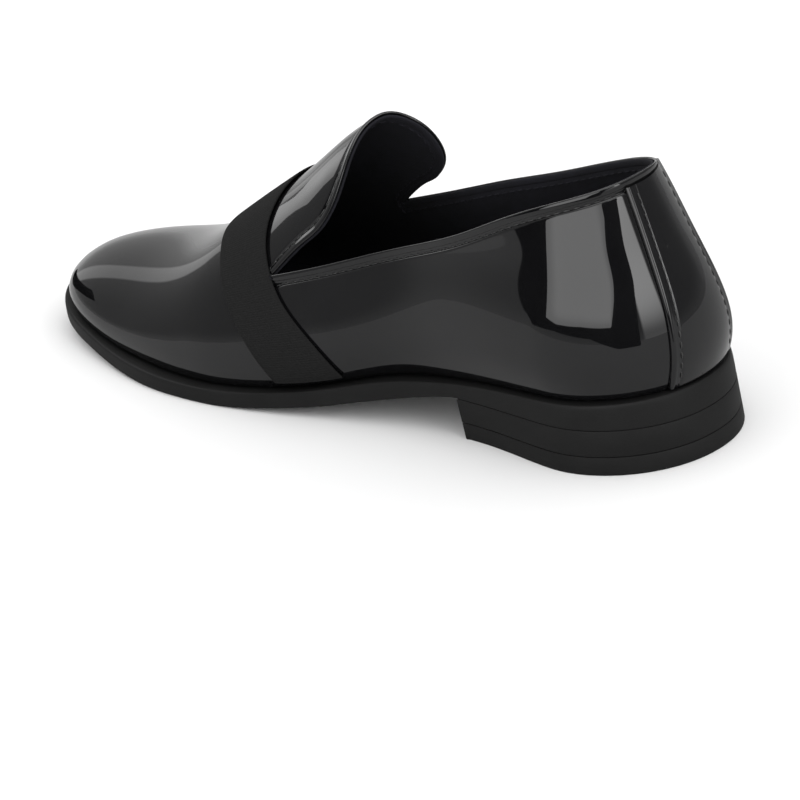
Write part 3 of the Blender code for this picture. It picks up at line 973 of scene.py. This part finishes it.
def strip_surface(rows, shares):
    """Grid of the back strip from foot to topline, by shares of its half widths, and those widths."""
    z = np.linspace(feather_z(LAST_BACK) + STRIP_FOOT, topline["outer"](LAST_BACK) - STRIP_TOP, rows)
    half = by_side(strip, z[:, None], shares[None, :])
    offsets = half * shares[None, :]
    heights = np.broadcast_to(z[:, None], offsets.shape)
    return heel_points(heights.ravel(), offsets.ravel()).reshape(rows, len(shares), 3), half


def make_strip():
    """Patent strip over the back seam, with a folded bead along each edge and a groove beside it."""
    shares = np.sin(np.linspace(-np.pi / 2, np.pi / 2, STRIP_POINTS))
    grid, half = strip_surface(STRIP_LEVELS, shares)
    normals = -open_normals(grid)
    inward = half * (1 - np.abs(shares))[None, :]
    rolled = np.sqrt(np.clip(1 - (1 - np.clip(inward / STRIP_ROLL, 0, 1))**2, 0, 1))
    bead = STRIP_BEAD["height"] * hump(inward, STRIP_BEAD["centre"], STRIP_BEAD["width"])
    groove = STRIP_SEAM_DEPTH * hump(inward, STRIP_SEAM, SEAM_WIDTH)
    lift = STRIP_LIFT + STRIP_THICKNESS * rolled + bead - groove
    above = grid[..., 2] - feather_z(LAST_BACK)
    top = settle(grid + lift[..., None] * normals, above)
    base = settle(grid + STRIP_BASE * normals, above)
    section = np.concatenate([top, base[:, ::-1]], 1)
    make("back_strip", section, trim(section), PATENT, ["back_strip"])


def make_stitches(name, line, out, material=THREAD):
    """Stitches laid evenly along a seam line: bent capsules whose ends sink into the leather.

    Their UV map turns with the thread's twist.
    """
    run = np.linspace(-1, 1, STITCH_RINGS)
    turn = np.arange(STITCH_SIDES) * 2 * np.pi / STITCH_SIDES
    points, out, along = stitch_places(line, out)
    across = unit(np.cross(out, along))
    radius = STITCH_RADIUS * np.sqrt(np.clip(1 - run**4, STITCH_END**2, 1))
    centre = points[:, None] + along[:, None] * (run * STITCH_LENGTH / 2)[None, :, None]
    centre = centre + out[:, None] * (STITCH_RADIUS * STITCH_LIFT - STITCH_SINK * run**2)[None, :, None]
    body = centre[:, :, None]
    body = body + (radius[:, None] * np.cos(turn))[None, ..., None] * out[:, None, None]
    body = body + (radius[:, None] * np.sin(turn))[None, ..., None] * across[:, None, None]
    twist = np.stack(np.broadcast_arrays(STITCH_TWIST * run[:, None] + turn / np.pi, turn / np.pi), -1)
    uv = np.broadcast_to(twist[None], (*body.shape[:3], 2))
    one = quads(len(run), len(turn), close_columns=True)
    size = len(run) * len(turn)
    starts = np.arange(len(points)) * size
    faces = (one[None] + starts[:, None, None]).reshape(-1, 4).tolist()
    first = np.arange(STITCH_SIDES)
    ends = np.stack([first, first + size - STITCH_SIDES])
    faces += (ends[None] + starts[:, None, None]).reshape(-1, STITCH_SIDES).tolist()
    make(name, body, faces, material, uv=uv, sharp=80)


def stitch_places(line, out):
    """Even places for stitches along a seam line, with the directions out of it and along it."""
    run = runs(line[None])[0]
    count = int(run[-1] / STITCH_PITCH)
    at = (np.arange(count) + 0.5) * run[-1] / count
    places, ahead = (at_distances(line[None], at[None] + step)[0] for step in (0, STITCH_AIM))
    outs = np.stack([np.interp(at, run, out[:, k]) for k in range(3)], -1)
    return places, unit(outs), unit(ahead - places)


def make_topline_stitches():
    """Stitch row below the folded edge, all round the quarters and the tongue and over the back strip."""
    grid, _ = upper_grid(np.array([]), TOPLINE_SEAM + SEAM_WIDTH * np.array([1, 0, -1]))
    normals = ring_normals(grid)[:, 1]
    line = grid[:, 1]
    off = line[:, 1] / by_side(strip, line[:, 2], line[:, 1])
    over_strip = (line[:, :1] < STRIP_DEPTH) & (np.abs(off)[:, None] < 1)
    lift = np.where(over_strip, STRIP_LIFT + STRIP_THICKNESS, -SEAM_DEPTH)
    make_stitches("topline_stitches", line + lift * normals, normals)
    inner = line - (PATENT_WALL + LAYER_SEAM + LINING_WALL) * normals
    make_stitches("lining_stitches", inner, -normals, LINING)


def make_strip_stitches():
    """A stitch row along each edge of the back strip."""
    low = feather_z(LAST_BACK) + STRIP_FOOT + STRIP_SEAM_END
    high = topline["outer"](LAST_BACK) - STRIP_TOP - STRIP_SEAM_END
    z = np.linspace(low, high, STRIP_SEAM_POINTS)
    for side, name in ((1, "strip_stitches_outer"), (-1, "strip_stitches_inner")):
        offset = by_side(strip, z, side) - STRIP_SEAM
        line, beside = (heel_points(z, side * (offset - step)) for step in (0, 1))
        out = unit(np.cross(np.gradient(line, axis=0), beside - line))
        out = out * np.sign(np.sum(out * np.array([-1, 0, 0]), -1, keepdims=True))
        line = line + (STRIP_LIFT + STRIP_THICKNESS - STRIP_SEAM_DEPTH) * out
        make_stitches(name, settle(line, z - feather_z(LAST_BACK)), out)


def make_outsole():
    """Outsole with arch, toe spring and a flat tread under the ball: rings up a superellipse edge.

    The lower half of the edge is less round where the heel is under it.
    """
    heel_drop = 1 - HEEL_SEAT_Z / sole["top"](0)
    turn = np.linspace(-np.pi / 2, np.pi / 2, SOLE_EDGE_RINGS)
    share = (np.sign(np.sin(turn)) * np.abs(np.sin(turn))**(2 / SOLE_EDGE_POWER) + 1) / 2
    depth = SOLE_EDGE_ROUND * (1 - np.abs(np.cos(turn))**(2 / SOLE_EDGE_POWER))
    rings = []
    for s, d in zip(share, depth):
        outline = sole_outline(heel_drop * (1 - s))
        ease = np.clip((outline[:, 0] - HEEL_LENGTH) / SOLE_EDGE, 0, 1)
        rounded = HEEL_EDGE_SHARE + (1 - HEEL_EDGE_SHARE) * ease
        outline = inset(outline, d * np.where(s < 0.5, rounded, 1))
        low = sole_bottom(outline[:, 0])
        high = sole["top"](outline[:, 0]) - seat["drop"](outline[:, 0])
        rings.append(ring(outline, low + s * (high - low)))
    loft("outsole", rings, RUBBER, ["outsole"])


def make_heel_layer(name, low, high):
    """One layer of the heel between two heights, with its flare and lightly rounded edges."""
    rim = sole["top"](0)
    levels = [(low + LAYER_ROUND * up, LAYER_ROUND * depth) for up, depth in LAYER_CORNER]
    levels += [(high - LAYER_ROUND * down, LAYER_ROUND * depth) for down, depth in LAYER_CORNER[::-1]]
    rings = [ring(inset(heel_outline(1 - z / rim), depth), z) for z, depth in levels]
    loft(name, rings, RUBBER, [name])


def make_insole():
    """Insole that follows the sole's top face inside the upper."""
    turn = (np.arange(INSOLE_POINTS) + 0.5) * 2 * np.pi / INSOLE_POINTS
    x = LAST_BACK + (LAST_TOE - LAST_BACK) * (1 - np.cos(turn)) / 2
    side = np.where(turn < np.pi, 1, -1)
    low = inset(np.stack([x, side * breadth(x, side)], -1), INSOLE_INSET)
    high = inset(low, INSOLE_ROUND)
    under = sole["top"](low[:, 0]) - seat["drop"](low[:, 0]) + INSOLE_GAP
    over = sole["top"](high[:, 0]) + INSOLE_GAP + INSOLE_THICKNESS
    loft("insole", [ring(low, under), ring(high, over)], LINING, ["insole"])


make_outsole()
make_heel_layer("heel_block", TOP_PIECE_Z + LAYER_GAP, HEEL_SEAT_Z - LAYER_GAP)
make_heel_layer("heel_top_piece", 0, TOP_PIECE_Z)
make_insole()
make_upper()
make_fold("topline_binding", PATENT_FOLD, PATENT, ["topline_binding"])
make_fold("lining_fold", LINING_FOLD, LINING, [])
make_band()
make_strip()
make_topline_stitches()
make_strip_stitches()


def make_camera():
    """Camera turned about its aim, rolled, then swung so that its aim falls on the chosen pixel."""
    camera = bpy.data.cameras.new("camera")
    camera.sensor_width = SENSOR
    camera.lens = FOCAL_PIXELS * SENSOR / PICTURE
    camera.clip_start, camera.clip_end = CLIP
    holder = bpy.data.objects.new("camera", camera)
    bpy.context.scene.collection.objects.link(holder)
    az, el = np.radians(CAMERA_AZIMUTH), np.radians(CAMERA_ELEVATION)
    back = Vector((-np.sin(az) * np.cos(el), np.cos(az) * np.cos(el), np.sin(el)))
    aim = Vector(to_frame(LOOK_AT))
    turn = (-back).to_track_quat("-Z", "Y").to_matrix()
    roll = Matrix.Rotation(np.radians(CAMERA_ROLL), 3, "Z")
    half = PICTURE / 2
    ray = Vector((LOOK_AT_PIXEL[0] - half, half - LOOK_AT_PIXEL[1], -FOCAL_PIXELS))
    swing = ray.rotation_difference(Vector((0, 0, -1))).to_matrix()
    place = Matrix.Translation(aim + back * CAMERA_DISTANCE * MM)
    holder.matrix_world = place @ (turn @ roll @ swing).to_4x4()
    bpy.context.scene.camera = holder


def stage_material(name, colour):
    """A plain matte material for the stage, and its shader."""
    material = bpy.data.materials.new(name)
    material.use_nodes = True
    shader = material.node_tree.nodes["Principled BSDF"]
    shader.inputs["Base Color"].default_value = (*colour, 1)
    shader.inputs["Roughness"].default_value = 1.0
    shader.inputs["Specular IOR Level"].default_value = 0.0
    return material, shader


def make_floor():
    """Plain white floor, far wider than the picture, and greyer in the shoe's reflections."""
    mesh = bpy.data.meshes.new("floor")
    corners = np.array([(-1, -1, 0), (1, -1, 0), (1, 1, 0), (-1, 1, 0)]) * FLOOR_HALF
    mesh.from_pydata(corners.tolist(), [], [(0, 1, 2, 3)])
    material, shader = stage_material("pale_floor", FLOOR_COLOUR)
    tree = material.node_tree
    ray = tree.nodes.new("ShaderNodeLightPath")
    shade = tree.nodes.new("ShaderNodeValToRGB")
    for stop, colour in zip(shade.color_ramp.elements, (FLOOR_COLOUR, FLOOR_REFLECTED)):
        stop.color = (*colour, 1)
    tree.links.new(ray.outputs["Is Glossy Ray"], shade.inputs["Fac"])
    tree.links.new(shade.outputs["Color"], shader.inputs["Base Color"])
    mesh.materials.append(material)
    floor = bpy.data.objects.new("floor", mesh)
    bpy.context.scene.collection.objects.link(floor)


def make_card(name, card):
    """A dark or a glowing card beside the shoe, seen in reflections only.

    It is a strip on an upright cylinder, between a lower and an upper edge that follow their heights.
    Its glow falls off towards its sides and its foot.
    """
    turn = np.linspace(card["turns"][0], card["turns"][-1], CARD_STEPS)
    foot = np.interp(turn, card["turns"], card["feet"])
    top = np.interp(turn, card["turns"], np.broadcast_to(card["top"], len(card["turns"])))
    z = foot[:, None] + (top - foot)[:, None] * np.linspace(0, 1, CARD_ROWS)
    arc = np.radians(turn)[:, None] + 0 * z
    x = card["x"] + card["radius"] * np.cos(arc)
    y = card["y"] + card["radius"] * np.sin(arc)
    grid = np.stack([x, y, z], -1)
    aside = np.minimum(turn - turn[0], turn[-1] - turn)[:, None] / FADE_TURN
    shine = FADE_LEAST + (1 - FADE_LEAST) * smooth(aside) * smooth((z - foot[:, None]) / FADE_HEIGHT)
    mesh = bpy.data.meshes.new(name)
    mesh.from_pydata(grid.reshape(-1, 3).tolist(), [], quads(*z.shape).tolist())
    mesh.attributes.new("shine", "FLOAT", "POINT").data.foreach_set("value", shine.ravel())
    material, shader = stage_material(name, (0.0, 0.0, 0.0))
    tree = material.node_tree
    falloff = tree.nodes.new("ShaderNodeAttribute")
    falloff.attribute_name = "shine"
    glow = math_node(tree, "MULTIPLY", falloff.outputs["Fac"], card["glow"])
    tree.links.new(glow, shader.inputs["Emission Strength"])
    shader.inputs["Emission Color"].default_value = (1, 1, 1, 1)
    mesh.materials.append(material)
    piece = bpy.data.objects.new(name, mesh)
    bpy.context.scene.collection.objects.link(piece)
    piece.visible_camera = piece.visible_diffuse = piece.visible_shadow = piece.visible_transmission = False


def soft_step(tree, value, start, stop):
    """Smooth climb from 0 to 1 while a value goes from start to stop, in either direction."""
    node = tree.nodes.new("ShaderNodeMapRange")
    node.interpolation_type = "SMOOTHSTEP"
    tree.links.new(value, node.inputs["Value"])
    spans = {"From": sorted((start, stop)), "To": (0, 1) if start < stop else (1, 0)}
    for name, (low, high) in spans.items():
        node.inputs[name + " Min"].default_value = low
        node.inputs[name + " Max"].default_value = high
    return node.outputs["Result"]


def make_world():
    """Grey studio of soft panels by direction in reflections, and an even white dome on matte surfaces."""
    world = bpy.data.worlds.new("studio")
    world.use_nodes = True
    tree = world.node_tree
    place = tree.nodes.new("ShaderNodeTexCoord")
    split = tree.nodes.new("ShaderNodeSeparateXYZ")
    turned = tree.nodes.new("ShaderNodeVectorRotate")
    turned.rotation_type = "Z_AXIS"
    turned.inputs["Angle"].default_value = np.radians(-STUDIO_DATUM)
    tree.links.new(place.outputs["Generated"], turned.inputs["Vector"])
    tree.links.new(turned.outputs["Vector"], split.inputs["Vector"])
    turn = math_node(tree, "DEGREES", math_node(tree, "ARCTAN2", split.outputs["Y"], split.outputs["X"]))
    rise = math_node(tree, "DEGREES", math_node(tree, "ARCSINE", split.outputs["Z"]))
    total = STUDIO_GREY
    for row in PANEL_ROWS:
        panel = dict(zip(PANEL_COLUMNS, row))
        mask = panel["glow"]
        for value, axis in ((turn, "turn"), (rise, "rise")):
            soft = panel[axis + "_edge"]
            for end, sign in (("_from", 1), ("_to", -1)):
                at = panel[axis + end]
                edge = soft_step(tree, value, at - sign * soft, at + sign * soft)
                mask = math_node(tree, "MULTIPLY", mask, edge)
        total = math_node(tree, "ADD", total, mask)
    ray = tree.nodes.new("ShaderNodeLightPath")
    matte = ray.outputs["Is Diffuse Ray"]
    seen = math_node(tree, "MULTIPLY", total, math_node(tree, "SUBTRACT", 1.0, matte))
    total = math_node(tree, "MULTIPLY_ADD", matte, DOME_GLOW, seen)
    background = tree.nodes["Background"]
    background.inputs["Color"].default_value = (1, 1, 1, 1)
    tree.links.new(total, background.inputs["Strength"])
    bpy.context.scene.world = world
    bpy.context.scene.view_settings.view_transform = "Standard"


make_camera()
make_floor()
make_world()
for card_name, card in CARDS.items():
    make_card(card_name, card)
